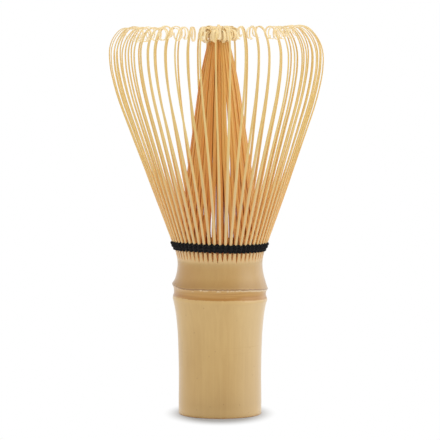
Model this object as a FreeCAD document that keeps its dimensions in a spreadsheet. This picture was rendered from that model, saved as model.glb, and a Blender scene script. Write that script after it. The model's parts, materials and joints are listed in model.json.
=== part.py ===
import FreeCAD, Part
import math
import os
import re

import Sketcher

# Bamboo tea whisk (chasen), in millimetres, +Z up.
# The origin is the centre of the handle's bottom face, and -Y is the front.
# A length of culm is the handle. Its wall is split into outer tines, which lean out to a bell and
# curl inwards at their tips, and inner tines, which lean in to a cone and curl outwards. A thread
# runs between the two rows and round the outside of the outer tines.

# ---- driving dimensions -------------------------------------------------------------------------

DIMENSIONS = {
    # handle: culm with a lower node ridge, a sheath scar ridge and a neck under the tines
    "culm_radius": 12.2,
    "grip_height": 18.0,
    "flare_radius": 13.75,
    "flare_height": 34.0,
    "flare_arc": 83.4,
    "ridge_arc": 1.9,
    "waist_radius": 13.6,
    "waist_low": 35.6,
    "waist_high": 36.8,
    "waist_arc": 2.6,
    "scar_radius": 13.75,
    "scar_height": 39.2,
    "scar_arc": 1.9,
    "neck_radius": 12.5,
    "neck_height": 43.6,
    "neck_arc": 12.0,
    "rim_height": 45.0,
    "rim_inner_radius": 10.7,
    "cup_floor": 36.4,
    "bore_radius": 8.7,
    "bore_depth": 33.0,
    "foot_chamfer": 0.4,
    # tines, all round and in one group
    "tine_count": 56,
    "group_size": 4,
    # outer tines, from the flexing line just above the thread to the curled tip. An arc is a
    # radius and a turn is the angle through which that arc bends the tine.
    "flex_radius": 13.9,
    "flex_height": 51.2,
    "flex_gap": 0.15,
    "outer_lean": 20.4,
    "outer_shaft": 39.7,
    "flank_arc": 75.0,
    "flank_turn": 8.4,
    "shoulder_arc": 31.0,
    "crown_arc": 11.5,
    "crown_turn": 45.0,
    "brow_arc": 4.2,
    "brow_turn": 70.0,
    "hook_arc": 1.95,
    "hook_turn": 200.0,
    "outer_root_width": 0.8,
    "outer_root_depth": 0.68,
    "outer_shoulder_width": 0.64,
    "outer_shoulder_depth": 0.34,
    "outer_tip_width": 0.42,
    "outer_tip_depth": 0.18,
    "stub_width": 0.74,
    "stub_length": 7.2,
    # inner tines, from the handle's rim to the curled tip
    "inner_root_radius": 11.45,
    "inner_lean": 3.0,
    "inner_stem": 5.5,
    "knee_arc": 25.0,
    "knee_turn": 9.0,
    "cone_arc": 600.0,
    "cone_turn": 5.66,
    "curl_arc": 1.6,
    "curl_turn": 260.0,
    "inner_root_width": 0.46,
    "inner_root_depth": 0.54,
    "inner_tip_width": 0.2,
    "inner_tip_depth": 0.16,
    # thread
    "thread_height": 48.3,
    "row_count": 3,
    "row_pitch": 0.86,
    "row_arc": 0.46,
    "thread_backing": 0.16,
    "thread_clearance": 0.02,
    "weave_radius": 12.42,
    "weave_height": 49.5,
    "weave_arc": 0.38,
    "link_width": 0.4,
    "link_depth": 0.5,
}

os.makedirs("parts", exist_ok=True)
doc = FreeCAD.newDocument("tea_whisk")
sheet = doc.addObject("Spreadsheet::Sheet", "Dimensions")
for row, (alias, number) in enumerate(DIMENSIONS.items(), start=1):
    sheet.set(f"A{row}", alias)
    sheet.set(f"B{row}", str(number))
    sheet.setAlias(f"B{row}", alias)
doc.recompute()

tine_count = int(sheet.tine_count)
group_size = int(sheet.group_size)
row_count = int(sheet.row_count)
group_count = tine_count // group_size
tine_pitch = 360.0 / tine_count
front_azimuth = -90.0


# ---- sketch helpers -----------------------------------------------------------------------------

def bound(text):
    """Write an expression's dimension names, which all hold an underscore, as sheet cells."""
    return re.sub(r"\b([a-z]+_[a-z_]+)\b", r"Dimensions.\1", text)


def number_of(holder, text):
    """The expression's present value as a plain number, in millimetres or degrees."""
    value = holder.evalExpression(bound(text))
    return float(getattr(value, "Value", value))


def origin_feature(body, role):
    """One of the body's own origin planes or axes."""
    for feature in body.Origin.OriginFeatures:
        if feature.Role == role:
            return feature
    raise ValueError(role)


def new_sketch(body, name, role):
    sketch = body.newObject("Sketcher::SketchObject", name)
    sketch.AttachmentSupport = [(origin_feature(body, role), "")]
    sketch.MapMode = "FlatFace"
    return sketch


def drive(sketch, constraint, text):
    """Add a constraint and bind its size to the sheet."""
    index = sketch.addConstraint(constraint)
    sketch.setExpression(f"Constraints[{index}]", bound(text))


def arc_between(start, end, radius, side):
    """Arc from start to end. Side +1 bulges to the right of the way, -1 to the left."""
    chord = end - start
    middle = (start + end) * 0.5
    right = FreeCAD.Vector(chord.y, -chord.x, 0).normalize()
    drop = math.sqrt(radius ** 2 - (chord.Length / 2) ** 2)
    centre = middle - right * (side * drop)
    first, last = (start, end) if side > 0 else (end, start)
    angles = [math.atan2(point.y - centre.y, point.x - centre.x) for point in (first, last)]
    circle = Part.Circle(centre, FreeCAD.Vector(0, 0, 1), radius)
    return Part.ArcOfCircle(circle, *angles)


def outline(body, name, corners, arcs=None):
    """Closed outline on the XZ plane. Corners are (radius, height) expressions, in an
    anticlockwise order. Arcs gives a span, by the number of its first corner, a radius and a side."""
    arcs = arcs or {}
    sketch = new_sketch(body, name, "XZ_Plane")
    points = [FreeCAD.Vector(number_of(sketch, r), number_of(sketch, z), 0) for r, z in corners]
    ends = []
    for span, start in enumerate(points):
        end = points[(span + 1) % len(points)]
        if span in arcs:
            radius, side = arcs[span]
            sketch.addGeometry(arc_between(start, end, number_of(sketch, radius), side))
            drive(sketch, Sketcher.Constraint("Radius", span, number_of(sketch, radius)), radius)
            ends.append((1, 2) if side > 0 else (2, 1))
        else:
            sketch.addGeometry(Part.LineSegment(start, end))
            ends.append((1, 2))
    for span, (first, last) in enumerate(ends):
        after = (span + 1) % len(ends)
        sketch.addConstraint(Sketcher.Constraint("Coincident", span, last, after, ends[after][0]))
        r, z = corners[span]
        across = Sketcher.Constraint("DistanceX", -1, 1, span, first, points[span].x)
        upwards = Sketcher.Constraint("DistanceY", -1, 1, span, first, points[span].y)
        drive(sketch, across, r)
        drive(sketch, upwards, z)
    return sketch


def round_section(body, name, across, upwards, radius):
    """Circle on the XZ plane, at a radius and a height from the origin."""
    sketch = new_sketch(body, name, "XZ_Plane")
    centre = FreeCAD.Vector(number_of(sketch, across), number_of(sketch, upwards), 0)
    size = number_of(sketch, radius)
    sketch.addGeometry(Part.Circle(centre, FreeCAD.Vector(0, 0, 1), size))
    drive(sketch, Sketcher.Constraint("DistanceX", -1, 1, 0, 3, centre.x), across)
    drive(sketch, Sketcher.Constraint("DistanceY", -1, 1, 0, 3, centre.y), upwards)
    drive(sketch, Sketcher.Constraint("Radius", 0, size), radius)
    return sketch


def tine_path(body, start, lean, length, bends):
    """Side view of a tine: a straight stretch, then tangent arcs. Lean is the angle from upright,
    outwards. Each bend is a radius, a turn and a way: +1 turns inwards and -1 outwards."""
    sketch = new_sketch(body, "path", "XZ_Plane")
    base = FreeCAD.Vector(number_of(sketch, start[0]), number_of(sketch, start[1]), 0)
    heading = math.radians(90.0 - number_of(sketch, lean))
    run = number_of(sketch, length)
    place = base + FreeCAD.Vector(math.cos(heading), math.sin(heading), 0) * run
    sketch.addGeometry(Part.LineSegment(base, place))
    drive(sketch, Sketcher.Constraint("DistanceX", -1, 1, 0, 1, base.x), start[0])
    drive(sketch, Sketcher.Constraint("DistanceY", -1, 1, 0, 1, base.y), start[1])
    drive(sketch, Sketcher.Constraint("Distance", 0, run), length)
    drive(sketch, Sketcher.Constraint("Angle", 0, heading), f"90 deg - {lean} * 1 deg")
    leaving = 2
    for index, (radius, turn, way) in enumerate(bends, start=1):
        size = number_of(sketch, radius)
        sweep = math.radians(number_of(sketch, turn))
        inward = FreeCAD.Vector(-math.sin(heading), math.cos(heading), 0) * way
        centre = place + inward * size
        entry = math.atan2(-inward.y, -inward.x)
        finish = entry + way * sweep
        circle = Part.Circle(centre, FreeCAD.Vector(0, 0, 1), size)
        sketch.addGeometry(Part.ArcOfCircle(circle, min(entry, finish), max(entry, finish)))
        arriving = 1 if way > 0 else 2
        sketch.addConstraint(Sketcher.Constraint("Tangent", index - 1, leaving, index, arriving))
        drive(sketch, Sketcher.Constraint("Radius", index, size), radius)
        drive(sketch, Sketcher.Constraint("Angle", index, sweep), f"({turn}) * 1 deg")
        leaving = 3 - arriving
        place = centre + FreeCAD.Vector(math.cos(finish), math.sin(finish), 0) * size
        heading += way * sweep
    return sketch


def section(body, path, name, edge, along, width, depth):
    """Rectangular section of a tine, square to its path."""
    sketch = body.newObject("Sketcher::SketchObject", name)
    sketch.AttachmentSupport = [(path, f"Edge{edge}")]
    sketch.MapMode = "NormalToEdge"
    sketch.MapPathParameter = along
    half_width = number_of(sketch, width) / 2
    half_depth = number_of(sketch, depth) / 2
    corners = [
        FreeCAD.Vector(-half_width, -half_depth, 0),
        FreeCAD.Vector(half_width, -half_depth, 0),
        FreeCAD.Vector(half_width, half_depth, 0),
        FreeCAD.Vector(-half_width, half_depth, 0),
    ]
    for side in range(4):
        sketch.addGeometry(Part.LineSegment(corners[side], corners[(side + 1) % 4]))
    for side in range(4):
        sketch.addConstraint(Sketcher.Constraint("Coincident", side, 2, (side + 1) % 4, 1))
        sketch.addConstraint(Sketcher.Constraint("Vertical" if side % 2 else "Horizontal", side))
    sketch.addConstraint(Sketcher.Constraint("Symmetric", 0, 1, 2, 1, -1, 1))
    drive(sketch, Sketcher.Constraint("DistanceX", 0, 1, 0, 2, 2 * half_width), width)
    drive(sketch, Sketcher.Constraint("DistanceY", 1, 1, 1, 2, 2 * half_depth), depth)
    return sketch


# ---- feature helpers ----------------------------------------------------------------------------

def revolve(body, name, sketch, kind="Revolution"):
    feature = body.newObject(f"PartDesign::{kind}", name)
    feature.Profile = sketch
    feature.ReferenceAxis = (origin_feature(body, "Z_Axis"), [""])
    feature.Angle = 360.0
    doc.recompute()
    return feature


def pad_both_ways(body, name, sketch, width):
    feature = body.newObject("PartDesign::Pad", name)
    feature.Profile = sketch
    feature.SideType = "Symmetric"
    feature.setExpression("Length", bound(width))
    doc.recompute()
    return feature


def polar_pattern(body, name, feature, angle, occurrences):
    pattern = body.newObject("PartDesign::PolarPattern", name)
    pattern.Originals = [feature]
    pattern.Axis = (origin_feature(body, "Z_Axis"), [""])
    pattern.setExpression("Angle", bound(angle))
    pattern.setExpression("Occurrences", bound(occurrences))
    body.Tip = pattern
    doc.recompute()
    return pattern


def tine_sweep(body, path, sections):
    """Solid tine whose section changes evenly along its path."""
    feature = body.newObject("PartDesign::AdditivePipe", "tine")
    feature.Profile = sections[0]
    feature.Spine = path
    feature.Sections = [(sketch, [""]) for sketch in sections[1:]]
    feature.Transformation = "Multisection"
    doc.recompute()
    return feature


def new_body(label):
    body = doc.addObject("PartDesign::Body", label)
    body.Label = label
    return body


def turn_about_axis(body, azimuth):
    upright = FreeCAD.Vector(0, 0, 1)
    turn = FreeCAD.Rotation(upright, azimuth)
    body.Placement = FreeCAD.Placement(FreeCAD.Vector(0, 0, 0), turn)


# ---- handle -------------------------------------------------------------------------------------

def along_lean(distance, offset):
    """Point at a distance down an outer tine's line from its flexing point, and at an offset out
    from that line."""
    sine = "sin(outer_lean * 1 deg)"
    cosine = "cos(outer_lean * 1 deg)"
    radius = f"flex_radius - ({distance}) * {sine} + ({offset}) * {cosine}"
    height = f"flex_height - ({distance}) * {cosine} - ({offset}) * {sine}"
    return radius, height


def make_handle():
    """Culm with its node, a blind bore below the diaphragm, a cup above it, and the fixed roots of
    the outer tines standing on the rim."""
    body = new_body("handle")
    culm = outline(
        body,
        "culm_outline",
        [
            ("0", "0"),
            ("culm_radius - foot_chamfer", "0"),
            ("culm_radius", "foot_chamfer"),
            ("culm_radius", "grip_height"),
            ("flare_radius", "flare_height"),
            ("waist_radius", "waist_low"),
            ("waist_radius", "waist_high"),
            ("scar_radius", "scar_height"),
            ("neck_radius", "neck_height"),
            ("neck_radius", "rim_height"),
            ("0", "rim_height"),
        ],
        {
            3: ("flare_arc", -1),
            4: ("ridge_arc", 1),
            5: ("waist_arc", -1),
            6: ("scar_arc", 1),
            7: ("neck_arc", -1),
        },
    )
    revolve(body, "culm", culm)
    cup = outline(
        body,
        "cup_outline",
        [
            ("0", "cup_floor"),
            ("rim_inner_radius", "cup_floor"),
            ("rim_inner_radius", "rim_height"),
            ("0", "rim_height"),
        ],
    )
    revolve(body, "cup", cup, "Groove")
    bore = outline(
        body,
        "bore_outline",
        [
            ("0", "0"),
            ("bore_radius", "0"),
            ("bore_radius", "bore_depth"),
            ("0", "bore_depth"),
        ],
    )
    revolve(body, "bore", bore, "Groove")
    half_depth = "outer_root_depth / 2"
    stub = outline(
        body,
        "stub_outline",
        [
            along_lean("flex_gap + stub_length", f"-{half_depth}"),
            along_lean("flex_gap + stub_length", half_depth),
            along_lean("flex_gap", half_depth),
            along_lean("flex_gap", f"-{half_depth}"),
        ],
    )
    pad = pad_both_ways(body, "stub", stub, "stub_width")
    polar_pattern(body, "stubs", pad, "360 deg", "tine_count")
    turn_about_axis(body, front_azimuth)
    return body


# ---- tines --------------------------------------------------------------------------------------

def tine_group(body, tine):
    """Neighbouring tines, one pitch apart."""
    polar_pattern(body, "group", tine, "(group_size - 1) * 360 deg / tine_count", "group_size")


def make_outer_tines(group):
    body = new_body(f"outer_tines_{group + 1:02d}")
    bends = [
        ("flank_arc", "flank_turn", 1),
        ("shoulder_arc", "outer_lean - flank_turn", 1),
        ("crown_arc", "crown_turn", 1),
        ("brow_arc", "brow_turn", 1),
        ("hook_arc", "hook_turn", 1),
    ]
    path = tine_path(body, ("flex_radius", "flex_height"), "outer_lean", "outer_shaft", bends)
    sections = [
        section(body, path, "root", 1, 0, "outer_root_width", "outer_root_depth"),
        section(body, path, "shoulder", 3, 1, "outer_shoulder_width", "outer_shoulder_depth"),
        section(body, path, "tip", 6, 1, "outer_tip_width", "outer_tip_depth"),
    ]
    tine_group(body, tine_sweep(body, path, sections))
    turn_about_axis(body, front_azimuth + (group * group_size - 1) * tine_pitch)
    return body


def make_inner_tines(group):
    """The inner tines stand half a pitch from the outer ones."""
    body = new_body(f"inner_tines_{group + 1:02d}")
    bends = [
        ("knee_arc", "knee_turn", 1),
        ("cone_arc", "cone_turn", 1),
        ("curl_arc", "curl_turn", -1),
    ]
    lift = "rim_height + inner_root_depth / 2 * sin(inner_lean * 1 deg)"
    path = tine_path(body, ("inner_root_radius", lift), "inner_lean", "inner_stem", bends)
    sections = [
        section(body, path, "root", 1, 0, "inner_root_width", "inner_root_depth"),
        section(body, path, "throat", 3, 1, "inner_tip_width", "inner_tip_depth"),
        section(body, path, "tip", 4, 0, "inner_tip_width", "inner_tip_depth"),
    ]
    tine_group(body, tine_sweep(body, path, sections))
    turn_about_axis(body, front_azimuth + (group * group_size - 0.5) * tine_pitch)
    return body


# ---- thread -------------------------------------------------------------------------------------

def make_binding_thread():
    """One thread: close rows round the outside of the outer tines, a row between the outer and the
    inner tines, and the passes that join them through every gap."""
    body = new_body("binding_thread")
    first_row = "(flex_height - thread_height) / cos(outer_lean * 1 deg)"
    face = "outer_root_depth / 2 + thread_clearance"
    corners = [along_lean(first_row, face)]
    for row in range(row_count + 1):
        corners.append(along_lean(f"{first_row} - {row} * row_pitch", f"{face} + thread_backing"))
    corners.append(along_lean(f"{first_row} - {row_count} * row_pitch", face))
    lobes = {row + 1: ("row_arc", 1) for row in range(row_count)}
    revolve(body, "outer_rows", outline(body, "rows_outline", corners, lobes))
    weave = round_section(body, "weave_outline", "weave_radius", "weave_height", "weave_arc")
    revolve(body, "weave_row", weave)
    level = "(flex_height - weave_height) / cos(outer_lean * 1 deg)"
    reach, _ = along_lean(level, f"{face} + thread_backing")
    link = outline(
        body,
        "link_outline",
        [
            ("weave_radius", "weave_height - link_depth / 2"),
            (reach, "weave_height - link_depth / 2"),
            (reach, "weave_height + link_depth / 2"),
            ("weave_radius", "weave_height + link_depth / 2"),
        ],
    )
    pad = pad_both_ways(body, "link", link, "link_width")
    polar_pattern(body, "links", pad, "360 deg", "tine_count")
    turn_about_axis(body, front_azimuth + tine_pitch / 2)
    return body


# ---- build, check and write ---------------------------------------------------------------------

bodies = [make_handle(), make_binding_thread()]
bodies += [make_outer_tines(group) for group in range(group_count)]
bodies += [make_inner_tines(group) for group in range(group_count)]
doc.recompute()

for item in doc.Objects:
    if "Invalid" in item.State or "Error" in item.State:
        raise RuntimeError(f"{item.Label} did not compute: {item.State}")
for body in bodies:
    if body.Shape.isNull() or not body.Shape.isValid():
        raise RuntimeError(f"{body.Label} has no valid shape")
for body in bodies:
    body.Shape.exportStep(os.path.join("parts", f"{body.Label}.step"))
    size = body.Shape.optimalBoundingBox()
    print(
        f"{body.Label}: {len(body.Shape.Solids)} solids, {body.Shape.Volume:.1f} mm3,",
        f"z {size.ZMin:.2f} to {size.ZMax:.2f}",
    )
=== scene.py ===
import json
import math
import random

import bmesh
import bpy
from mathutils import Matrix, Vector, noise


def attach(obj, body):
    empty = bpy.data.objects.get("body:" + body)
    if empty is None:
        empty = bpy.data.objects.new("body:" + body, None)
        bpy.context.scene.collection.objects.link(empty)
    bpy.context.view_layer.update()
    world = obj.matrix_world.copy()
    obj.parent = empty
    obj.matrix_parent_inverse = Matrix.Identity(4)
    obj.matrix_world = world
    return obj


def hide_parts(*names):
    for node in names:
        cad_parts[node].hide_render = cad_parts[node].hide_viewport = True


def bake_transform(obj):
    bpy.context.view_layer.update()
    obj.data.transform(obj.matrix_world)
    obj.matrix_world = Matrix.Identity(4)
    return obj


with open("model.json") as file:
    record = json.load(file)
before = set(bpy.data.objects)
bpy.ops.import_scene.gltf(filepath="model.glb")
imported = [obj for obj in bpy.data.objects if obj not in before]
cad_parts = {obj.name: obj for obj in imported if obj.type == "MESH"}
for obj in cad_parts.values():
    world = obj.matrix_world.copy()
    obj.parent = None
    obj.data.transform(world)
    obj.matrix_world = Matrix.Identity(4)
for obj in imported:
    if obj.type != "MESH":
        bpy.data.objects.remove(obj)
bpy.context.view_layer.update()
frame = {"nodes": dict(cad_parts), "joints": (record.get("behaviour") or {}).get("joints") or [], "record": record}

# Bamboo tea whisk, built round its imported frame. Shapes are worked out in millimetres, in the
# frame's axes, and written to the meshes in metres. -Y is the front.
MM = 0.001

# ---- what the frame says ------------------------------------------------------------------------

ROOT = "culm"
OUTER_NODES = sorted(name for name in frame["nodes"] if name.startswith("outer_tines"))
INNER_NODES = sorted(name for name in frame["nodes"] if name.startswith("inner_tines"))
GROUP_SIZE = 4
TINES = GROUP_SIZE * len(OUTER_NODES)
PITCH = 2 * math.pi / TINES
FRONT = -math.pi / 2
FLEX_HEIGHT = frame["joints"][0]["pos_m"][2] / MM
BORE = next(mount["dims"] for mount in frame["record"]["mounts"] if mount["name"] == "handle_bore")
BORE_RADIUS = BORE["r_mm"]
BORE_DEPTH = BORE["length_mm"]

# ---- sizes --------------------------------------------------------------------------------------

# Culm: heights of its lower ridge, its sheath scar, the top of its neck and the sawn teeth.
RIDGE_LEVEL = 34.5
SCAR_LEVEL = 37.6
NECK_TOP = 44.0
TOOTH_TOP = 48.9
TOOTH_STEPS = 7
TOOTH_SHARE = 0.46
KERF_CURVE = 0.38
CUP_FLOOR = 36.4
CUP_RADIUS = 10.7
CUP_RIM = 45.4

# Tines: lengths run from the flexing line of an outer tine and from the foot of an inner one.
# Past THIN_FROM all are shaved thin.
THIN_FROM = 66.0
OUTER_TOP = 114.85
OUTER_FOOT_RADIUS = 13.9
OUTER_LEAN = 20.15
FLANK_TURN = 8.4
CROWN_TILT = 0.24
INNER_FOOT_RADIUS = 11.42
INNER_FOOT_HEIGHT = 44.6
CURL_RADIUS = 1.35
SLIT_ANGLE = 3 * PITCH
SLIT_PUSH = 0.6

# How far the outer and the inner tines lean to -X at their tops.
OUTER_SHIFT = 0.75
INNER_SHIFT = 0.35

# Thread.
STEPS_PER_PITCH = 14
PLY_TURNS_PER_PITCH = 1.5
THREAD_LIFT = 0.4


# ---- small tools --------------------------------------------------------------------------------

def smooth(share):
    """Share, kept between 0 and 1 and eased at both ends."""
    share = min(1.0, max(0.0, share))
    return share * share * (3 - 2 * share)


def bell_weight(place, middle, width):
    return math.exp(-(((place - middle) / width) ** 2))


def through(keys):
    """A smooth function through (place, value) keys that never overshoots between them."""
    places = [place for place, _ in keys]
    values = [value for _, value in keys]
    gaps = [b - a for a, b in zip(places, places[1:])]
    slopes = [(b - a) / gap for a, b, gap in zip(values, values[1:], gaps)]
    tangents = [slopes[0]]
    for before, after in zip(slopes, slopes[1:]):
        tangents.append(0.0 if before * after <= 0 else 2 * before * after / (before + after))
    tangents.append(slopes[-1])

    def value_at(place):
        if place <= places[0]:
            return values[0]
        if place >= places[-1]:
            return values[-1]
        span = max(i for i, start in enumerate(places[:-1]) if start <= place)
        share = (place - places[span]) / gaps[span]
        square = share * share
        cube = square * share
        return (
            (2 * cube - 3 * square + 1) * values[span]
            + (cube - 2 * square + share) * gaps[span] * tangents[span]
            + (3 * square - 2 * cube) * values[span + 1]
            + (cube - square) * gaps[span] * tangents[span + 1]
        )

    return value_at


def polar(radius, azimuth, height):
    return Vector((radius * math.cos(azimuth), radius * math.sin(azimuth), height))


class Shape:
    """Points in millimetres and faces, with what the materials read at each point: grain, a
    position in the fibres, level, a height or a length along the piece, and tone, how dark it is."""

    def __init__(self):
        self.points = []
        self.grain = []
        self.level = []
        self.tone = []
        self.faces = []
        self.marks = []

    def add_point(self, place, grain, level, tone):
        self.points.append(place)
        self.grain.append(grain)
        self.level.append(level)
        self.tone.append(tone)
        return len(self.points) - 1

    def add_face(self, corners, mark=0):
        """Mark is the number of the face's material."""
        self.faces.append(corners)
        self.marks.append(mark)

    def join_rings(self, lower, upper, marks):
        """Quads between two closed rings of points. Marks gives each segment's material in turn."""
        count = len(lower)
        for i in range(count):
            j = (i + 1) % count
            self.add_face([lower[i], lower[j], upper[j], upper[i]], marks[i % len(marks)])

    def to_object(self, name, materials, crease=None):
        """The mesh object. Edges that turn more than crease degrees are sharp."""
        mesh = bpy.data.meshes.new(name)
        mesh.from_pydata([point * MM for point in self.points], [], self.faces)
        for material in materials:
            mesh.materials.append(material)
        mesh.polygons.foreach_set("material_index", self.marks)
        grain = mesh.attributes.new("grain", "FLOAT_VECTOR", "POINT")
        grain.data.foreach_set("vector", [number for vector in self.grain for number in vector])
        level = mesh.attributes.new("level", "FLOAT", "POINT")
        level.data.foreach_set("value", self.level)
        tone = mesh.attributes.new("tone", "FLOAT", "POINT")
        tone.data.foreach_set("value", self.tone)
        edit = bmesh.new()
        edit.from_mesh(mesh)
        bmesh.ops.recalc_face_normals(edit, faces=edit.faces)
        edit.to_mesh(mesh)
        edit.free()
        mesh.polygons.foreach_set("use_smooth", [True] * len(mesh.polygons))
        if crease is not None:
            mesh.set_sharp_from_angle(angle=math.radians(crease))
        mesh.update()
        piece = bpy.data.objects.new(name, mesh)
        bpy.context.scene.collection.objects.link(piece)
        return piece


# ---- material nodes -----------------------------------------------------------------------------

def linear(red, green, blue):
    """A display colour, 0 to 255, as the linear colour that shaders take."""
    return tuple(((c / 255 + 0.055) / 1.055) ** 2.4 for c in (red, green, blue)) + (1.0,)


class Look:
    """A new material and short ways to add its nodes."""

    def __init__(self, name):
        self.material = bpy.data.materials.new(name)
        self.material.use_nodes = True
        self.tree = self.material.node_tree
        self.shader = self.tree.nodes["Principled BSDF"]

    def node(self, kind, **settings):
        made = self.tree.nodes.new(kind)
        for name, value in settings.items():
            setattr(made, name, value)
        return made

    def link(self, source, target):
        self.tree.links.new(source, target)

    def feed(self, socket, value):
        """Link another node's output to the socket, or set it to a plain value."""
        if isinstance(value, bpy.types.NodeSocket):
            self.link(value, socket)
        else:
            socket.default_value = value

    def attribute(self, name, output="Fac"):
        return self.node("ShaderNodeAttribute", attribute_name=name).outputs[output]

    def part_of(self, vector, axis):
        split = self.node("ShaderNodeSeparateXYZ")
        self.link(vector, split.inputs[0])
        return split.outputs[axis]

    def stretched(self, vector, scale):
        mapping = self.node("ShaderNodeMapping")
        self.link(vector, mapping.inputs["Vector"])
        mapping.inputs["Scale"].default_value = scale
        return mapping.outputs["Vector"]

    def noise(self, vector, scale, detail=3.0, roughness=0.55, distortion=0.0):
        texture = self.node("ShaderNodeTexNoise")
        self.link(vector, texture.inputs["Vector"])
        texture.inputs["Scale"].default_value = scale
        texture.inputs["Detail"].default_value = detail
        texture.inputs["Roughness"].default_value = roughness
        texture.inputs["Distortion"].default_value = distortion
        return texture.outputs["Fac"]

    def cells(self, vector):
        """Distance to the nearest of points strewn one to each unit cell."""
        texture = self.node("ShaderNodeTexVoronoi", feature="F1")
        self.link(vector, texture.inputs["Vector"])
        texture.inputs["Scale"].default_value = 1.0
        return texture.outputs["Distance"]

    def math(self, operation, first, second=0.0, third=0.0):
        made = self.node("ShaderNodeMath", operation=operation)
        for socket, value in zip(made.inputs, (first, second, third)):
            self.feed(socket, value)
        return made.outputs[0]

    def times(self, first, second):
        return self.math("MULTIPLY", first, second)

    def span(self, value, low, high, to_low=0.0, to_high=1.0):
        """Value from low to high, turned smoothly into to_low to to_high."""
        made = self.node("ShaderNodeMapRange", interpolation_type="SMOOTHSTEP")
        self.feed(made.inputs["Value"], value)
        made.inputs["From Min"].default_value = low
        made.inputs["From Max"].default_value = high
        made.inputs["To Min"].default_value = to_low
        made.inputs["To Max"].default_value = to_high
        return made.outputs["Result"]

    def band(self, value, start, full, fade, end):
        """A mask that rises from start to full and falls from fade to end."""
        return self.times(self.span(value, start, full), self.span(value, end, fade))

    def mix(self, share, first, second, way="MIX"):
        made = self.node("ShaderNodeMix", data_type="RGBA", blend_type=way)
        self.feed(made.inputs["Factor"], share)
        self.feed(made.inputs[6], first)
        self.feed(made.inputs[7], second)
        return made.outputs[2]

    def deepen(self, share, colour, factors):
        """Colour, with its red, green and blue multiplied by the factors where share is 1."""
        return self.mix(share, colour, factors + (1.0,), "MULTIPLY")

    def bump(self, height, distance, strength=1.0, over=None):
        made = self.node("ShaderNodeBump")
        made.inputs["Strength"].default_value = strength
        made.inputs["Distance"].default_value = distance * MM
        self.link(height, made.inputs["Height"])
        if over is not None:
            self.link(over, made.inputs["Normal"])
        return made.outputs["Normal"]

    def finish(self, colour, roughness, normal=None, **constants):
        """Join colour, roughness and normal to the shader, and set its constants by name."""
        self.feed(self.shader.inputs["Base Color"], colour)
        self.feed(self.shader.inputs["Roughness"], roughness)
        if normal is not None:
            self.link(normal, self.shader.inputs["Normal"])
        for name, value in constants.items():
            self.shader.inputs[name.replace("_", " ")].default_value = value
        return self.material


# ---- materials ----------------------------------------------------------------------------------

PALE_SKIN = linear(208, 176, 114)
CULM_TAN = linear(196, 160, 97)
CULM_DEEP = linear(182, 144, 82)
UPPER_PAINTED_LIGHT = linear(212, 178, 118)
LOWER_PAINTED_SHADE = linear(180, 141, 80)
RIGHT_PAINTED_SHEEN = linear(214, 192, 150)
NECK_PAINTED_SHADE = linear(164, 126, 70)
RIM_PAINTED_LIGHT = linear(226, 189, 131)
NODE_TAN = linear(184, 140, 70)
NODE_ORANGE = linear(172, 121, 44)
BELT_PALE = linear(202, 154, 86)
BELT_DARK = linear(160, 104, 42)
LIP_PAINTED_HIGHLIGHT = linear(208, 170, 100)
SCAR_BROWN = linear(120, 72, 30)
FLECK_CREAM = linear(222, 200, 160)
FOOT_PAINTED_LIGHT = linear(226, 188, 126)
FOOT_ORANGE = linear(196, 132, 68)
FLESH_PALE = linear(226, 190, 132)
FLESH_TAN = linear(206, 164, 104)
VESSEL_BROWN = linear(150, 98, 52)
SAWN_GOLD = linear(234, 190, 130)
TINE_PEACH = linear(215, 187, 134)
TINE_GOLD = linear(223, 196, 129)
TIP_CREAM = linear(252, 234, 196)
CUT_ORANGE = linear(232, 184, 112)
CUT_GOLD = linear(231, 201, 130)
INNER_ORANGE = linear(220, 162, 76)
INNER_TAN = linear(222, 172, 90)
INNER_PAINTED_SHADE = linear(204, 124, 56)
ROOT_ORANGE = linear(238, 180, 110)
CURL_CREAM = linear(246, 222, 170)
THREAD_BLACK = linear(3, 3, 4)
THREAD_WORN = linear(19, 19, 22)

# What the darkest tine's colour is multiplied by, and how far red, green and blue pass into it.
SKIN_DARKEST = (0.95, 0.91, 0.84)
CUT_DARKEST = (0.94, 0.89, 0.81)
INNER_DARKEST = (0.88, 0.6, 0.34)
WARM_SPREAD = (1.0, 0.82, 0.62)
EVEN_SPREAD = (1.0, 0.96, 0.92)


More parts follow.
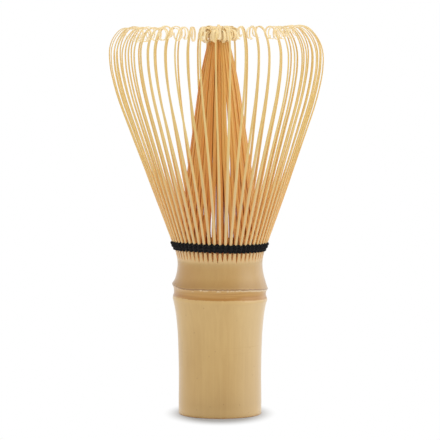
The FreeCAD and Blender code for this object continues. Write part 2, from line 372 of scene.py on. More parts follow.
def node_marks_and_painted_light(look, colour, grain, level, ragged, lines):
    """The culm's node: a darker neck above the scar with painted shade over it, most near the scar,
    more painted shade at -X and painted light under the teeth, the streaked belt between the
    ridges, a painted highlight on the lip under it, pale flecks and the scar."""
    across = look.part_of(grain, "X")
    over_scar = look.span(ragged, SCAR_LEVEL + 0.1, SCAR_LEVEL + 0.6)
    just_over = look.span(ragged, SCAR_LEVEL + 3.9, SCAR_LEVEL + 0.8, 0.3, 0.6)
    # Painted shade on the hollow neck above the scar, strongest near the scar.
    colour = look.mix(look.times(over_scar, just_over), colour, NECK_PAINTED_SHADE)
    neck = look.times(over_scar, look.span(level, NECK_TOP + 2.0, NECK_TOP - 0.4))
    colour = look.deepen(neck, colour, (0.93, 0.86, 0.71))
    # Painted shade: the neck is darker still at -X.
    left_neck_shade = look.times(over_scar, look.span(level, NECK_TOP + 2.0, NECK_TOP + 0.5))
    left_neck_shade = look.times(left_neck_shade, look.span(across, -3.0, -9.0))
    colour = look.deepen(left_neck_shade, colour, (0.94, 0.88, 0.74))
    # Painted light: the skin just under the teeth is paler, against the shade of the thread and kerfs.
    under_teeth_light = look.span(level, NECK_TOP + 1.1, NECK_TOP + 2.2, 0.0, 0.45)
    colour = look.mix(under_teeth_light, colour, RIM_PAINTED_LIGHT)

    up_belt = look.span(level, RIDGE_LEVEL + 0.5, RIDGE_LEVEL + 2.5)
    belt_colour = look.mix(up_belt, NODE_ORANGE, NODE_TAN)
    belt_colour = look.mix(look.span(lines, 0.48, 0.62, 0.0, 0.35), belt_colour, BELT_PALE)
    belt_colour = look.mix(look.span(lines, 0.46, 0.34, 0.0, 0.4), belt_colour, BELT_DARK)
    belt = look.band(ragged, RIDGE_LEVEL + 0.12, RIDGE_LEVEL + 0.35, SCAR_LEVEL - 0.3, SCAR_LEVEL)
    colour = look.mix(belt, colour, belt_colour)
    # Painted highlight along the lip under the lower ridge.
    lip_highlight = look.band(ragged, RIDGE_LEVEL - 1.2, RIDGE_LEVEL - 0.3, RIDGE_LEVEL, RIDGE_LEVEL + 0.25)
    colour = look.mix(look.times(lip_highlight, 0.3), colour, LIP_PAINTED_HIGHLIGHT)

    flecks = look.band(ragged, SCAR_LEVEL - 0.65, SCAR_LEVEL - 0.35, SCAR_LEVEL - 0.18, SCAR_LEVEL)
    chips = look.math("MULTIPLY_ADD", across, 0.012, look.noise(grain, 1.1, 3.0, 0.6))
    flecks = look.times(flecks, look.span(chips, 0.44, 0.6, 0.08, 0.85))
    colour = look.mix(flecks, colour, FLECK_CREAM)
    scar = look.band(ragged, SCAR_LEVEL - 0.22, SCAR_LEVEL - 0.08, SCAR_LEVEL + 0.16, SCAR_LEVEL + 0.42)
    return look.mix(look.times(scar, 0.7), colour, SCAR_BROWN)


def wear_marks_and_foot_light(look, colour, grain, level, ragged, lines):
    """Specks all over, faint scratches round the grip, painted light that makes the foot paler against the floor's
    shade, and an orange edge.
    """
    specks = look.span(look.cells(look.stretched(grain, (0.42, 0.42, 0.3))), 0.075, 0.03)
    colour = look.mix(look.times(specks, 0.45), colour, SCAR_BROWN)
    scratches = look.times(look.span(lines, 0.66, 0.72), look.band(level, 15.0, 19.0, 21.0, 26.0))
    colour = look.mix(look.times(scratches, 0.3), colour, CULM_DEEP)
    # Painted light: the last few millimetres of the foot are paler, against the shade of the floor.
    colour = look.mix(look.span(level, 4.0, 0.0, 0.0, 0.35), colour, FOOT_PAINTED_LIGHT)
    return look.mix(look.times(look.span(ragged, 0.4, 0.1), 0.6), colour, FOOT_ORANGE)


def culm_skin():
    """Dried bamboo skin: fine lengthwise fibres, slow mottling and the marks of the node and of
    wear, with painted light and shade: paler towards the top and at +X, darker towards the foot.
    Level is the height along the culm, which follows the ridges where they tilt, and ragged
    is the same with an uneven edge. Lines run round the culm, fine and uneven."""
    look = Look("culm_skin")
    grain = look.attribute("grain", "Vector")
    level = look.attribute("level")
    lowered = look.math("SUBTRACT", level, 0.35)
    ragged = look.math("MULTIPLY_ADD", look.noise(grain, 1.6, 4.0, 0.7), 0.7, lowered)
    lines = look.noise(look.stretched(grain, (0.05, 0.05, 1.9)), 1.0, 2.0, 0.5, 0.4)
    fibres = look.noise(look.stretched(grain, (4.2, 4.2, 0.06)), 1.0, 4.0, 0.65)
    streaks = look.noise(look.stretched(grain, (1.1, 1.1, 0.025)), 1.0, 3.0, 0.55)
    mottle = look.noise(look.stretched(grain, (0.14, 0.14, 0.045)), 1.0, 4.0, 0.6)
    colour = look.mix(look.span(mottle, 0.34, 0.68, 0.0, 0.6), CULM_TAN, CULM_DEEP)
    colour = look.mix(look.span(streaks, 0.42, 0.72, 0.0, 0.3), colour, PALE_SKIN)
    colour = look.mix(look.span(fibres, 0.4, 0.72, 0.0, 0.18), colour, CULM_DEEP)
    # Painted light and shade: the culm is paler towards its top and darker towards its foot.
    colour = look.mix(look.span(level, 16.0, 33.5, 0.0, 0.3), colour, UPPER_PAINTED_LIGHT)
    colour = look.mix(look.span(level, 24.0, 1.0, 0.0, 0.4), colour, LOWER_PAINTED_SHADE)
    # Painted sheen: the culm is paler towards +X, in place of the right lamp's light glancing off it.
    colour = look.mix(look.span(look.part_of(grain, "X"), 1.0, 11.0, 0.0, 0.3), colour, RIGHT_PAINTED_SHEEN)
    colour = node_marks_and_painted_light(look, colour, grain, level, ragged, lines)
    colour = wear_marks_and_foot_light(look, colour, grain, level, ragged, lines)
    normal = look.bump(fibres, 0.03, 0.5)
    normal = look.bump(look.noise(grain, 0.9, 3.0, 0.5), 0.05, 0.35, over=normal)
    roughness = look.span(streaks, 0.3, 0.7, 0.36, 0.5)
    return look.finish(
        colour, roughness, normal, Specular_IOR_Level=0.3, Coat_Weight=0.75, Coat_Roughness=0.28
    )


def culm_cut():
    """Sawn end and bore of the culm: pale flesh with the dark dots of its vessels. The sawn
    teeth are more golden."""
    look = Look("culm_cut")
    grain = look.attribute("grain", "Vector")
    dots = look.cells(look.stretched(grain, (1.7, 1.7, 0.06)))
    colour = look.mix(look.noise(grain, 0.4, 3.0), FLESH_PALE, FLESH_TAN)
    colour = look.mix(look.span(dots, 0.34, 0.16, 0.0, 0.75), colour, VESSEL_BROWN)
    sawn = look.span(look.attribute("level"), NECK_TOP + 0.2, NECK_TOP + 1.2)
    colour = look.mix(sawn, colour, SAWN_GOLD)
    return look.finish(colour, 0.75, look.bump(dots, 0.05, 0.6))


def tine_look(name, colours, darkest, levels, roughness, glow, spread=WARM_SPREAD):
    """Split bamboo. Colours are those of the root, the middle and the tip. Level is the length
    along the tine, and levels gives where the first colour turns into the second and where the
    second turns into the third. Tone makes one tine darker than another, and in the cone it also
    holds painted shade towards -X. Glow is how much light passes into the strip, and spread how
    far its red, green and blue go."""
    look = Look(name)
    root, middle, tip = colours
    grain = look.attribute("grain", "Vector")
    tone = look.attribute("tone")
    fibres = look.noise(look.stretched(grain, (9.0, 9.0, 0.22)), 1.0, 4.0, 0.6)
    patches = look.noise(look.stretched(grain, (0.6, 0.6, 0.12)), 1.0, 3.0, 0.55)
    lowered = look.math("SUBTRACT", look.attribute("level"), 3.0)
    wander = look.math("MULTIPLY_ADD", patches, 6.0, lowered)
    colour = look.mix(look.span(wander, levels[0], levels[1]), root, middle)
    colour = look.deepen(tone, colour, darkest)
    tip = look.deepen(tone, tip, CUT_DARKEST)
    colour = look.mix(look.span(wander, levels[2], levels[3]), colour, tip)
    colour = look.deepen(look.span(fibres, 0.42, 0.72, 0.0, 0.6), colour, (0.9, 0.83, 0.7))
    return look.finish(
        colour,
        look.span(fibres, 0.3, 0.7, roughness - 0.05, roughness + 0.1),
        look.bump(fibres, 0.025, 0.6),
        Specular_IOR_Level=0.5,
        Subsurface_Weight=glow,
        Subsurface_Scale=0.35 * MM,
        Subsurface_Radius=spread,
    )


def thread_look():
    """Black twisted cotton: matt, a little blue, with lighter worn fibres and a soft sheen."""
    look = Look("black_cotton")
    grain = look.attribute("grain", "Vector")
    fibres = look.noise(look.stretched(grain, (7.0, 7.0, 2.2)), 1.0, 4.0, 0.7)
    colour = look.mix(look.span(fibres, 0.35, 0.75), THREAD_BLACK, THREAD_WORN)
    normal = look.bump(fibres, 0.06, 0.8)
    return look.finish(
        colour, 0.88, normal, Sheen_Weight=0.1, Sheen_Roughness=0.5, Specular_IOR_Level=0.2
    )


CULM_MATERIALS = [culm_skin(), culm_cut()]

# A tine's materials: its outside face, its cut faces, and all of its thin end.
OUTER_MATERIALS = [
    tine_look(
        "outer_skin", (TINE_PEACH, TINE_GOLD, TIP_CREAM), SKIN_DARKEST,
        levels=(12.0, 34.0, 60.0, 75.0), roughness=0.45, glow=0.12,
    ),
    tine_look(
        "outer_cut", (CUT_ORANGE, CUT_GOLD, TIP_CREAM), CUT_DARKEST,
        levels=(8.0, 36.0, 59.0, 74.0), roughness=0.6, glow=0.2,
    ),
    tine_look(
        "outer_hook", (CUT_GOLD, TINE_GOLD, TIP_CREAM), CUT_DARKEST,
        levels=(20.0, 40.0, 62.0, 73.0), roughness=0.55, glow=0.3, spread=EVEN_SPREAD,
    ),
]
INNER_MATERIALS = [
    tine_look(
        "inner_skin", (ROOT_ORANGE, INNER_TAN, CURL_CREAM), INNER_DARKEST,
        levels=(3.0, 14.0, 66.0, 70.0), roughness=0.5, glow=0.5,
    ),
    # The cut sides are darker brown low on the cone: painted shade for the shadowed gaps between tines.
    tine_look(
        "inner_cut", (INNER_PAINTED_SHADE, INNER_ORANGE, CURL_CREAM), INNER_DARKEST,
        levels=(16.0, 34.0, 66.0, 70.0), roughness=0.6, glow=0.4,
    ),
    tine_look(
        "inner_curl", (INNER_TAN, INNER_TAN, CURL_CREAM), INNER_DARKEST,
        levels=(3.0, 14.0, 65.0, 69.0), roughness=0.55, glow=0.15, spread=EVEN_SPREAD,
    ),
]
THREAD_MATERIALS = [thread_look()]

# ---- handle -------------------------------------------------------------------------------------

# Where the points of a ring lie, from half a pitch before a tine to half a pitch after it: closer
# in the kerfs than on the teeth.
SECTOR_SHARES = (-0.88, -0.75, -0.6, -0.46, -0.25, 0.0, 0.25, 0.46, 0.6, 0.75, 0.88, 1.0)

culm_radius = through([
    (0.0, 12.1), (0.12, 12.2), (0.35, 12.25), (10.0, 12.2), (18.0, 12.28), (23.0, 12.44),
    (28.0, 12.86), (31.5, 13.34), (33.4, 13.74), (34.3, 13.97), (34.9, 13.84), (35.7, 13.6),
    (36.5, 13.64), (37.1, 13.89), (37.5, 14.11), (37.75, 14.1), (38.2, 13.92), (39.2, 13.56),
    (40.8, 13.06), (42.4, 12.72), (NECK_TOP, 12.56),
])
root_face = through([
    (NECK_TOP, 12.56), (45.4, 12.54), (46.2, 12.66), (47.4, 12.94), (TOOTH_TOP, 13.28), (49.6, 13.5),
    (50.4, 13.86), (FLEX_HEIGHT, 14.22),
])
root_depth = through([(45.0, 1.5), (46.0, 1.1), (47.0, 0.8), (TOOTH_TOP, 0.68), (FLEX_HEIGHT, 0.64)])

chance_of_kerf = random.Random(41)
KERF_BOTTOMS = [46.15 - 0.8 * chance_of_kerf.random() ** 1.6 for _ in range(TINES)]


def culm_height(level, azimuth):
    """The ridges tilt and wander: the height of a level of the culm at an azimuth."""
    round_trip = Vector((math.cos(azimuth), math.sin(azimuth), 0.0))
    dip = bell_weight(math.atan2(-round_trip.x, -round_trip.y), math.radians(52.0), math.radians(20.0))
    scar_shift = 0.33 - 0.75 * round_trip.x ** 3 - 0.45 * dip + 0.1 * noise.noise(round_trip * 9.0)
    ridge_shift = -0.28 * round_trip.x + 0.14 * noise.noise(round_trip * 1.9 + Vector((5, 1, 2)))
    shift = scar_shift * bell_weight(level, SCAR_LEVEL, 1.7)
    return level + shift + ridge_shift * bell_weight(level, RIDGE_LEVEL, 1.5)


def culm_skin_point(level, azimuth):
    """A point of the skin. The culm is a little oval and uneven, and ragged at the scar."""
    calm = smooth((NECK_TOP - level) / 4.0)
    radius = culm_radius(level) * (1 + 0.003 * calm * math.cos(2 * azimuth + 0.7))
    here = Vector((math.cos(azimuth) * 2.2, math.sin(azimuth) * 2.2, level * 0.12))
    radius += 0.05 * calm * noise.noise(here)
    ragged = Vector((math.cos(azimuth) * 14, math.sin(azimuth) * 14, level * 1.5))
    radius += 0.07 * noise.noise(ragged) * bell_weight(level, SCAR_LEVEL - 0.1, 0.5)
    return polar(radius, azimuth, culm_height(level, azimuth))


def tooth_height(sector):
    """Top of the sawn wall: a tooth under each outer tine, a kerf with steep sides between two."""
    tine, share = sector
    if abs(share) <= TOOTH_SHARE:
        return TOOTH_TOP
    bottom = KERF_BOTTOMS[(tine if share > 0 else tine - 1) % TINES]
    into_kerf = (abs(share) - TOOTH_SHARE) / (1 - TOOTH_SHARE)
    return TOOTH_TOP - (TOOTH_TOP - bottom) * into_kerf ** KERF_CURVE


def culm_levels():
    """Levels of the rings of the skin, closest at the foot, the ridge and the scar."""
    levels = [0.0, 0.12, 0.35, 0.9]
    levels += [2.0 * i for i in range(1, 15)]
    levels += [29.0 + 0.5 * i for i in range(9)]
    levels += [33.4 + 0.22 * i for i in range(14)]
    levels += [36.5 + 0.12 * i for i in range(17)]
    levels += [38.6 + 0.45 * i for i in range(12)]
    return levels + [NECK_TOP]


def make_handle():
    shape = Shape()
    sectors = [(tine, share) for tine in range(TINES) for share in SECTOR_SHARES]
    azimuths = [FRONT + (tine + share / 2) * PITCH for tine, share in sectors]
    tops = [tooth_height(sector) for sector in sectors]

    def ring(place_at, level=None):
        """One ring of points: place_at takes the number of the sector. Level is the height of
        each point where none is given."""
        ids = []
        for number in range(len(sectors)):
            place = place_at(number)
            ids.append(shape.add_point(place, tuple(place), place.z if level is None else level, 0.0))
        return ids

    def wall_inside(number):
        top = tops[number]
        inner_top = top + 0.35 * (TOOTH_TOP - top)
        radius = max(CUP_RADIUS + 0.1, root_face(top) - root_depth(top))
        return polar(radius, azimuths[number], inner_top)

    def lathe(radius, height, seed):
        def place_at(number):
            azimuth = azimuths[number]
            wave = noise.noise(Vector((math.cos(azimuth), math.sin(azimuth), seed)) * 1.3)
            return polar(radius * (1 + 0.012 * wave), azimuth, height)
        return ring(place_at)

    rings = [ring(lambda i: culm_skin_point(level, azimuths[i]), level) for level in culm_levels()]
    for step in range(1, TOOTH_STEPS + 1):
        heights = [NECK_TOP + (top - NECK_TOP) * step / TOOTH_STEPS for top in tops]
        rings.append(ring(lambda i: polar(root_face(heights[i]), azimuths[i], heights[i])))
    for lower, upper in zip(rings, rings[1:]):
        shape.join_rings(lower, upper, [0])

    cup_profile = [
        (CUP_RADIUS, CUP_RIM - 0.5), (CUP_RADIUS, 41.0), (CUP_RADIUS - 0.1, 37.6),
        (CUP_RADIUS - 0.9, CUP_FLOOR + 0.15), (6.0, CUP_FLOOR), (2.0, CUP_FLOOR + 0.1),
        (0.05, CUP_FLOOR + 0.12),
    ]
    bore_profile = [
        (0.05, BORE_DEPTH + 0.1), (3.0, BORE_DEPTH), (7.2, BORE_DEPTH - 0.15),
        (BORE_RADIUS - 0.25, BORE_DEPTH - 0.9), (BORE_RADIUS, BORE_DEPTH - 2.2), (BORE_RADIUS, 16.0),
        (BORE_RADIUS, 0.5), (BORE_RADIUS + 0.25, 0.0),
    ]
    cup = [ring(wall_inside)]
    cup.append(ring(lambda i: polar(CUP_RADIUS + 0.05, azimuths[i], min(tops[i], CUP_RIM))))
    cup += [lathe(radius, height, 3.0) for radius, height in cup_profile]
    bore = [lathe(radius, height, 8.0) for radius, height in bore_profile]
    for lower, upper in zip([rings[-1]] + cup, cup):
        shape.join_rings(lower, upper, [1])
    for lower, upper in zip(bore, bore[1:] + [rings[0]]):
        shape.join_rings(lower, upper, [1])
    shape.add_face(cup[-1], 1)
    shape.add_face(bore[0][::-1], 1)
    piece = shape.to_object("whisk_handle", CULM_MATERIALS, crease=38.0)
    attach(piece, ROOT)
    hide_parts("handle")


# ---- tines --------------------------------------------------------------------------------------

def walk(radius, height, lean, moves):
    """Side view of a tine, as (length so far, radius, height, lean). Lean is in degrees from
    upright, outwards. A move is a length and a turn in degrees, inwards, over some steps."""
    length = 0.0
    stations = [(length, radius, height, lean)]
    for distance, turn, steps in moves:
        for _ in range(steps):
            middle = math.radians(lean - turn / steps / 2)
            radius += math.sin(middle) * distance / steps
            height += math.cos(middle) * distance / steps
            length += distance / steps
            lean -= turn / steps
            stations.append((length, radius, height, lean))
    return stations


def arc(radius, turn, steps):
    """A move along an arc."""
    return (radius * math.radians(abs(turn)), turn, steps)


def lay_tine(shape, stations, width_at, depth_at, place_at, tone, offset, crown):
    """Sweep a tine's section along its stations. The outside face is mark 0, the rest mark 1, and
    all of it is mark 2 past THIN_FROM. Offset sets its fibres apart from its neighbours', and
    crown is how much the outside face bulges."""
    rings = []
    for length, radius, height, lean in stations:
        middle, outward, sideways = place_at(length, radius, height, lean)
        half_width = width_at(length) / 2
        half_depth = depth_at(length) / 2
        bevel = min(0.11, half_depth * 0.45, half_width * 0.35)
        corners = [
            (-half_width + bevel, half_depth),
            (0.0, half_depth + crown * half_width),
            (half_width - bevel, half_depth),
            (half_width, half_depth - bevel),
            (half_width, -half_depth + bevel),
            (half_width - bevel, -half_depth),
            (-half_width + bevel, -half_depth),
            (-half_width, -half_depth + bevel),
            (-half_width, half_depth - bevel),
        ]
        ring = []
        for across, out in corners:
            place = middle + sideways * across + outward * out
            ring.append(shape.add_point(place, (across + offset, out, length + offset * 40), length, tone))
        rings.append(ring)
    for lower, upper, station in zip(rings, rings[1:], stations):
        shape.join_rings(lower, upper, [2] if station[0] > THIN_FROM else [0, 0] + [1] * 7)
    shape.add_face(rings[0][::-1], 1)
    shape.add_face(rings[-1], 2)


def settle(place, shift):
    """The tines lean a little to -X towards their tops."""
    return place - Vector((shift * smooth((place.z - FLEX_HEIGHT) / 60.0), 0, 0))


# ---- outer tines --------------------------------------------------------------------------------

root_width = through([
    (45.0, 1.2), (46.4, 1.1), (47.4, 0.85), (48.2, 0.68), (TOOTH_TOP, 0.74), (FLEX_HEIGHT, 0.78),
])
outer_width = through([
    (0.0, 0.78), (6.0, 0.86), (13.0, 0.9), (19.5, 0.9), (21.5, 0.82), (30.0, 0.72), (40.0, 0.62),
    (52.0, 0.55), (62.0, 0.5), (68.0, 0.52), (73.0, 0.54), (81.0, 0.44),
])
outer_depth = through([
    (0.0, 0.64), (15.0, 0.6), (19.5, 0.57), (22.0, 0.48), (35.0, 0.42), (50.0, 0.36), (60.0, 0.3),
    (70.0, 0.22), (79.0, 0.14),
])


def tine_depth(length):
    return root_depth(length + FLEX_HEIGHT) if length < 0 else outer_depth(length)


def held_back(azimuth):
    """How much less a tine leans out than the general lean, as a share. It is a little below zero
    at -X and at +X, highest some 20 degrees from there and nothing past 60, so that gaps open
    between the tines at the two sides of the bell."""
    turns = [math.remainder(azimuth - side, 2 * math.pi) for side in (0.0, math.pi)]
    aside = math.degrees(min(abs(turn) for turn in turns))
    return (1 - 1.25 * math.exp(-aside / 6.0)) * (1 - smooth((aside - 25.0) / 35.0))


def outer_stations(chance, azimuth):
    """Root through the thread, straight shaft, flank, shoulder, crown, brow and hook."""
    roots = []
    for height in (45.0, 45.9, 46.6, 47.4, 48.2, 48.9, 49.5, 50.1, 50.7):
        face = root_face(height) - 0.04
        roots.append((height - FLEX_HEIGHT, face - root_depth(height) / 2, height, 20.0))
    to_right = math.cos(azimuth)
    lean = OUTER_LEAN + chance.uniform(-0.4, 0.4) - 1.2 * held_back(azimuth)
    hook = chance.uniform(0.85, 1.2) - 0.08 * (1 + to_right)
    crown = chance.uniform(0.95, 1.06) - 0.055 * (1 - to_right)
    hook_turn = chance.uniform(170.0, 265.0) - 80 * max(0.0, to_right) ** 2
    bend = [
        arc(75.0, FLANK_TURN, 4),
        arc(31.0, lean - FLANK_TURN, 4),
        arc(10.6 * crown, 45.0, 7),
        arc(4.2 * crown, 70.0, 9),
        arc(1.75 * hook, hook_turn, 17),
    ]
    rise = max(height for _, _, height, _ in walk(0.0, 0.0, lean, bend))
    top = OUTER_TOP - CROWN_TILT * (1 - to_right) + chance.uniform(-0.4, 0.2)
    shaft = (top - FLEX_HEIGHT - rise) / math.cos(math.radians(lean))
    return roots + walk(OUTER_FOOT_RADIUS, FLEX_HEIGHT, lean, [(shaft, 0.0, 13)] + bend)


def side_drift(azimuth):
    """How far a tine leans sideways by its shoulder, in pitches. Slow waves round the bell open
    some gaps and close others."""
    return (
        0.33 * math.cos(azimuth)
        + 0.28 * math.cos(5 * azimuth - 0.3)
        + 0.1 * math.cos(3 * azimuth + 2.3)
    )


def outer_placer(azimuth, chance):
    """Puts side-view stations at an azimuth. The tine drifts sideways as it rises, and its hook
    turns a little out of the radial plane."""
    drift = (chance.uniform(-0.06, 0.06) + side_drift(azimuth)) * PITCH
    yaw = math.radians(chance.uniform(-9.0, 9.0))

    def place_at(length, radius, height, lean):
        turned = azimuth + drift * smooth(length / 60.0)
        hooked = smooth((15.0 - lean) / 90.0)
        spread = math.tan(yaw * hooked) * max(0.0, 30.0 - radius)
        out = polar(1.0, turned, 0.0)
        sideways = Vector((-out.y, out.x, 0.0))
        tilt = math.radians(lean)
        outward = out * math.cos(tilt) - Vector((0, 0, math.sin(tilt)))
        middle = out * radius + sideways * spread + Vector((0, 0, height))
        return settle(middle, OUTER_SHIFT), outward, sideways

    return place_at


def make_outer_tines():
    chance = random.Random(7)
    for group, node in enumerate(OUTER_NODES):
        shape = Shape()
        for member in range(GROUP_SIZE):
            azimuth = FRONT + (group * GROUP_SIZE - 1 + member) * PITCH
            width_scale = chance.uniform(0.86, 1.1)

            def width_at(length, scale=width_scale):
                if length < 0:
                    return root_width(length + FLEX_HEIGHT)
                return outer_width(length) * (1 + (scale - 1) * smooth(length / 8.0))

            stations = outer_stations(chance, azimuth)
            placer = outer_placer(azimuth, chance)
            tone = chance.random()
            lay_tine(shape, stations, width_at, tine_depth, placer, tone, chance.random(), 0.06)
        piece = shape.to_object(f"outer_splints_{group + 1:02d}", OUTER_MATERIALS)
        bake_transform(piece)
        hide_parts(node)


# ---- inner tines --------------------------------------------------------------------------------

inner_width = through([
    (0.0, 0.6), (5.0, 0.96), (16.0, 1.02), (26.0, 1.0), (34.0, 0.94), (42.0, 0.82), (52.0, 0.68),
    (60.0, 0.52), (66.0, 0.58), (71.0, 0.76), (76.0, 0.76), (82.0, 0.55),
])
inner_depth = through([
    (0.0, 0.6), (10.0, 0.52), (40.0, 0.4), (60.0, 0.3), (67.0, 0.2), (82.0, 0.13),
])


def inner_stations(chance, azimuth):
    """Stem, knee, long cone stretch, throat, then over like a fountain, down and back in."""
    size = chance.uniform(0.85, 1.15)
    return walk(INNER_FOOT_RADIUS, INNER_FOOT_HEIGHT, 3.0, [
        (6.1, 0.0, 3),
        arc(25.0, 10.6, 4),
        (39.6, 0.6, 8),
        (15.7 + chance.uniform(-0.4, 0.5), 6.4, 6),
        arc(4.5, -16.0, 3),
        (chance.uniform(0.6, 1.1) + 0.65 * (1 + math.sin(azimuth)), -4.0, 2),
        arc(CURL_RADIUS * size, -84.0, 8),
        arc(CURL_RADIUS * size, -84.0, 8),
        (chance.uniform(0.3, 1.1), -6.0, 2),
        arc(1.05 * size, -chance.uniform(60.0, 160.0), 8),
    ])


def slit_push(azimuth, length):
    """How far a tine of the cone leans sideways, in pitches. The tines part at the front and at the
    back, a little to +X of the middle, so that a slit of light shows through the cone."""
    push = 0.0
    for slit in (FRONT + SLIT_ANGLE, -FRONT - SLIT_ANGLE):
        away = math.remainder(azimuth - slit, 2 * math.pi) / PITCH
        push += SLIT_PUSH * math.tanh(away * 3) * math.exp(-abs(away) / 3)
    return push * smooth((length - 22.0) / 12.0) * (1 - smooth((length - 44.0) / 12.0))


def inner_tone_and_side_light(azimuth, share):
    """How dark a tine of the cone is, from 0 to 1: partly at random, with painted shade towards -X and painted
    light on the +X side, where the tines are paler.
    """
    return min(1.0, max(0.0, 0.1 + 0.75 * share - 0.3 * math.cos(azimuth)))


def inner_placer(azimuth, chance, layer):
    """Puts side-view stations at an azimuth. Layer is how far the tine stands out of the cone,
    and its curl turns to one side."""
    drift = chance.uniform(-0.2, 0.2) * PITCH
    aside = chance.uniform(-0.1, 0.1) * PITCH
    yaw = math.radians(chance.uniform(-14.0, 14.0))
    swell = chance.uniform(-0.04, 0.04)

    def place_at(length, radius, height, lean):
        rise = smooth(length / 50.0)
        turned = azimuth + aside * smooth(length / 9.0) + drift * rise
        turned += slit_push(azimuth, length) * PITCH
        curled = smooth((length - THIN_FROM) / 3.0)
        near = (layer + swell) * rise * (1 - 0.6 * curled)
        out = polar(1.0, turned, 0.0)
        sideways = Vector((-out.y, out.x, 0.0))
        turned_out = (out * math.cos(yaw * curled) + sideways * math.sin(yaw * curled)).normalized()
        across = Vector((-turned_out.y, turned_out.x, 0.0))
        tilt = math.radians(lean)
        outward = turned_out * math.cos(tilt) - Vector((0, 0, math.sin(tilt)))
        spread = math.tan(yaw * curled) * max(0.0, radius - 2.6)
        middle = out * (radius + near) + sideways * spread + Vector((0, 0, height))
        return settle(middle, INNER_SHIFT), outward, across

    return place_at


def make_inner_tines():
    chance = random.Random(23)
    for group, node in enumerate(INNER_NODES):
        shape = Shape()
        for member in range(GROUP_SIZE):
            azimuth = FRONT + (group * GROUP_SIZE - 0.5 + member) * PITCH
            placer = inner_placer(azimuth, chance, 0.06 if member % 2 else -0.06)
            stations = inner_stations(chance, azimuth)
            # This tone holds painted shade towards -X and painted light towards +X as well as random tone.
            tone = inner_tone_and_side_light(azimuth, chance.random())
            lay_tine(shape, stations, inner_width, inner_depth, placer, tone, chance.random(), 0.05)
        piece = shape.to_object(f"inner_splints_{group + 1:02d}", INNER_MATERIALS)
        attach(piece, ROOT)
        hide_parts(node)


# ---- thread -------------------------------------------------------------------------------------

def lay_yarn(shape, route, closed, ply_radius, ply_offset, flat, turns, tone):
    """Two plies twisted round a route, which gives centre, outward and upward at each step. Flat
    is how much of the yarn's thickness is left outwards, where it is pressed on the tines."""
    sides = 7
    for ply in range(2):
        rings = []
        for step, (centre, outward, upward) in enumerate(route):
            wide = outward * flat
            twist = 2 * math.pi * turns * step / len(route) + math.pi * ply
            heart = centre + (wide * math.cos(twist) + upward * math.sin(twist)) * ply_offset
            ring = []
            for side in range(sides):
                angle = 2 * math.pi * side / sides + twist
                place = heart + (wide * math.cos(angle) + upward * math.sin(angle)) * ply_radius
                grain = (math.cos(angle) + tone * 9, math.sin(angle) + ply, step * 0.12 + angle * 0.3)
                ring.append(shape.add_point(place, grain, 0.0, tone))
            rings.append(ring)
        for lower, upper in zip(rings, rings[1:] + rings[:1] if closed else rings[1:]):
            shape.join_rings(lower, upper, [0])
        if not closed:
            shape.add_face(rings[0][::-1])
            shape.add_face(rings[-1])


def row_route(height, radius, ripple, climb, seed):
    """A closed row of thread. It stands out over each outer tine and sinks between them, and it
    lies a little higher and wider on the -X side."""
    count = TINES * STEPS_PER_PITCH
    route = []
    for step in range(count):
        azimuth = FRONT + 2 * math.pi * step / count
        beat = math.cos(TINES * (azimuth - FRONT))
        wander = noise.noise(Vector((math.cos(azimuth), math.sin(azimuth), seed)) * 6.0)
        lift = THREAD_LIFT * smooth(0.5 - 0.7 * math.cos(azimuth))
        reach = radius + 0.55 * lift + ripple * beat + 0.05 * wander
        place = polar(reach, azimuth, height + lift - climb * beat + 0.07 * wander)
        route.append((place, polar(1, azimuth, 0), Vector((0, 0, 1))))
    return route


def gap_route(gap):
    """The thread's crossing from the outside rows to the inside one, between two outer tines."""
    azimuth = FRONT + (gap + 0.5) * PITCH
    route = []
    for step in range(7):
        share = step / 6
        centre = polar(13.6 - 1.1 * share, azimuth, 50.1 - 0.4 * share)
        route.append((centre, polar(1, azimuth + math.pi / 2, 0), Vector((0, 0, 1))))
    return route


def make_thread():
    """Three outside rows, two that fill between them, the inside row and a crossing in each gap."""
    shape = Shape()
    row_turns = TINES * PLY_TURNS_PER_PITCH
    outside = [(48.92, 13.16, 0.17, 0.12), (49.72, 13.62, 0.2, 0.06), (50.62, 13.9, 0.2, 0.2)]
    for number, (height, radius, ripple, climb) in enumerate(outside):
        route = row_route(height, radius, ripple, climb, number * 3.7)
        lay_yarn(shape, route, True, 0.33, 0.17, 0.8, row_turns, 0.3 * number)
    for number, (height, radius) in enumerate([(49.3, 13.24), (50.1, 13.6)]):
        route = row_route(height, radius, 0.12, 0.06, 9.0 + number)
        lay_yarn(shape, route, True, 0.3, 0.15, 0.8, row_turns, 0.6)
    lay_yarn(shape, row_route(49.7, 12.46, 0.0, 0.0, 20.0), True, 0.2, 0.17, 1.0, row_turns, 0.9)
    for gap in range(TINES):
        lay_yarn(shape, gap_route(gap), False, 0.15, 0.11, 1.0, PLY_TURNS_PER_PITCH, 0.5)
    piece = shape.to_object("thread_binding", THREAD_MATERIALS)
    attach(piece, ROOT)
    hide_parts("binding_thread")


# ---- stage --------------------------------------------------------------------------------------

FLOOR_RADIUS = 1800.0
SWEEP_RADIUS = 600.0
WALL_TOP = 1100.0
SWEEP_STEPS = 8
SWEEP_SIDES = 96


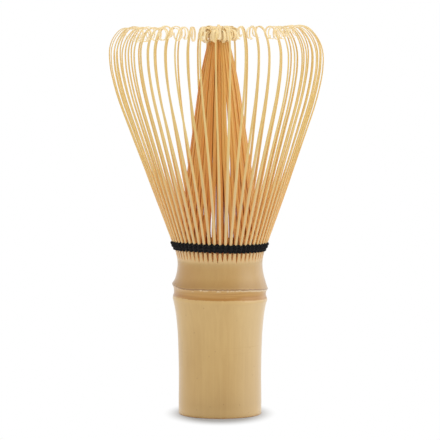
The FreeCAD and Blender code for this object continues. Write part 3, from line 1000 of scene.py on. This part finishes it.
def stage_look():
    """White paper under the whisk that glows as white as the backdrop, so that they run together
    with no edge. Only round the foot is it dull: the glow is taken away in an oval wider along Y,
    a painted shadow where the whisk's soft shadow shows."""
    look = Look("white_sweep")
    place = look.node("ShaderNodeTexCoord").outputs["Object"]
    away = look.node("ShaderNodeVectorMath", operation="LENGTH")
    look.link(look.stretched(place, (1.06, 0.65, 0.0)), away.inputs[0])
    # Painted shadow: no glow in an oval round the foot, where the paper is grey and takes only the light that
    # falls on it.
    glow_past_shadow = look.math("POWER", look.span(away.outputs["Value"], 0.0102, 0.0182), 0.85)
    wall = look.span(look.part_of(place, "Z"), 0.0, 0.01)
    look.shader.inputs["Emission Color"].default_value = (1, 1, 1, 1)
    look.link(look.math("MAXIMUM", glow_past_shadow, wall), look.shader.inputs["Emission Strength"])
    paper = look.mix(glow_past_shadow, (0.44, 0.44, 0.44, 1), (0, 0, 0, 1))
    return look.finish(paper, 0.9, Specular_IOR_Level=0.0)


def make_stage():
    """A round floor that curves up into a low backdrop on every side."""
    shape = Shape()
    profile = [(radius, 0.0) for radius in (20.0, 60.0, 150.0, 400.0, 1000.0, FLOOR_RADIUS)]
    for step in range(1, SWEEP_STEPS + 1):
        angle = math.pi / 2 * step / SWEEP_STEPS
        height = SWEEP_RADIUS * (1 - math.cos(angle))
        profile.append((FLOOR_RADIUS + SWEEP_RADIUS * math.sin(angle), height))
    profile.append((FLOOR_RADIUS + SWEEP_RADIUS, WALL_TOP))
    rings = []
    for radius, height in profile:
        turns = [2 * math.pi * side / SWEEP_SIDES for side in range(SWEEP_SIDES)]
        places = [polar(radius, turn, height) for turn in turns]
        rings.append([shape.add_point(place, (0, 0, 0), 0.0, 0.0) for place in places])
    shape.add_face(rings[0][::-1])
    for lower, upper in zip(rings, rings[1:]):
        shape.join_rings(lower, upper, [0])
    shape.to_object("sweep", [stage_look()])


# ---- light and camera ---------------------------------------------------------------------------

WORLD_LIGHT = 0.6
LIGHT_TARGET = (0, 0, 0.06)
CAMERA_DISTANCE = 0.8
CAMERA_HEIGHT = 0.112
AIM_HEIGHT = 0.0575
VIEW_WIDTH = 0.13005


def add_light(name, place, width, height, power):
    """A rectangular lamp that points at the whisk and isn't seen itself."""
    light = bpy.data.lights.new(name, "AREA")
    light.shape = "RECTANGLE"
    light.size = width
    light.size_y = height
    light.energy = power
    lamp = bpy.data.objects.new(name, light)
    lamp.location = place
    lamp.rotation_euler = (Vector(LIGHT_TARGET) - Vector(place)).to_track_quat("-Z", "Y").to_euler()
    lamp.visible_camera = False
    bpy.context.scene.collection.objects.link(lamp)


def make_lights():
    world = bpy.data.worlds.new("studio")
    world.use_nodes = True
    world.node_tree.nodes["Background"].inputs["Color"].default_value = (1.0, 1.0, 1.0, 1)
    world.node_tree.nodes["Background"].inputs["Strength"].default_value = WORLD_LIGHT
    bpy.context.scene.world = world
    add_light("overhead", (0.0, -0.1, 1.1), 1.2, 1.2, 5.2)
    add_light("left_box", (-0.9, -0.25, 0.45), 0.7, 0.9, 0.5)
    add_light("right_box", (0.9, -0.2, 0.45), 0.8, 1.0, 2.8)
    add_light("right_rim", (0.75, 0.55, 0.2), 0.5, 0.6, 0.5)


def make_camera():
    """A long lens in front of the whisk, about as high as its top and aimed at its middle, with no
    shift and no blur."""
    camera = bpy.data.cameras.new("view")
    eye = Vector((0.0, -CAMERA_DISTANCE, CAMERA_HEIGHT))
    aim = Vector((0.0, 0.0, AIM_HEIGHT))
    camera.sensor_width = 36.0
    camera.lens = camera.sensor_width * (aim - eye).length / VIEW_WIDTH
    camera.clip_start = 0.05
    camera.clip_end = 20.0
    holder = bpy.data.objects.new("view", camera)
    holder.location = eye
    holder.rotation_euler = (aim - eye).to_track_quat("-Z", "Y").to_euler()
    bpy.context.scene.collection.objects.link(holder)
    bpy.context.scene.camera = holder
    bpy.context.scene.view_settings.view_transform = "Standard"


make_camera()
make_stage()
make_lights()
make_handle()
make_outer_tines()
make_inner_tines()
make_thread()
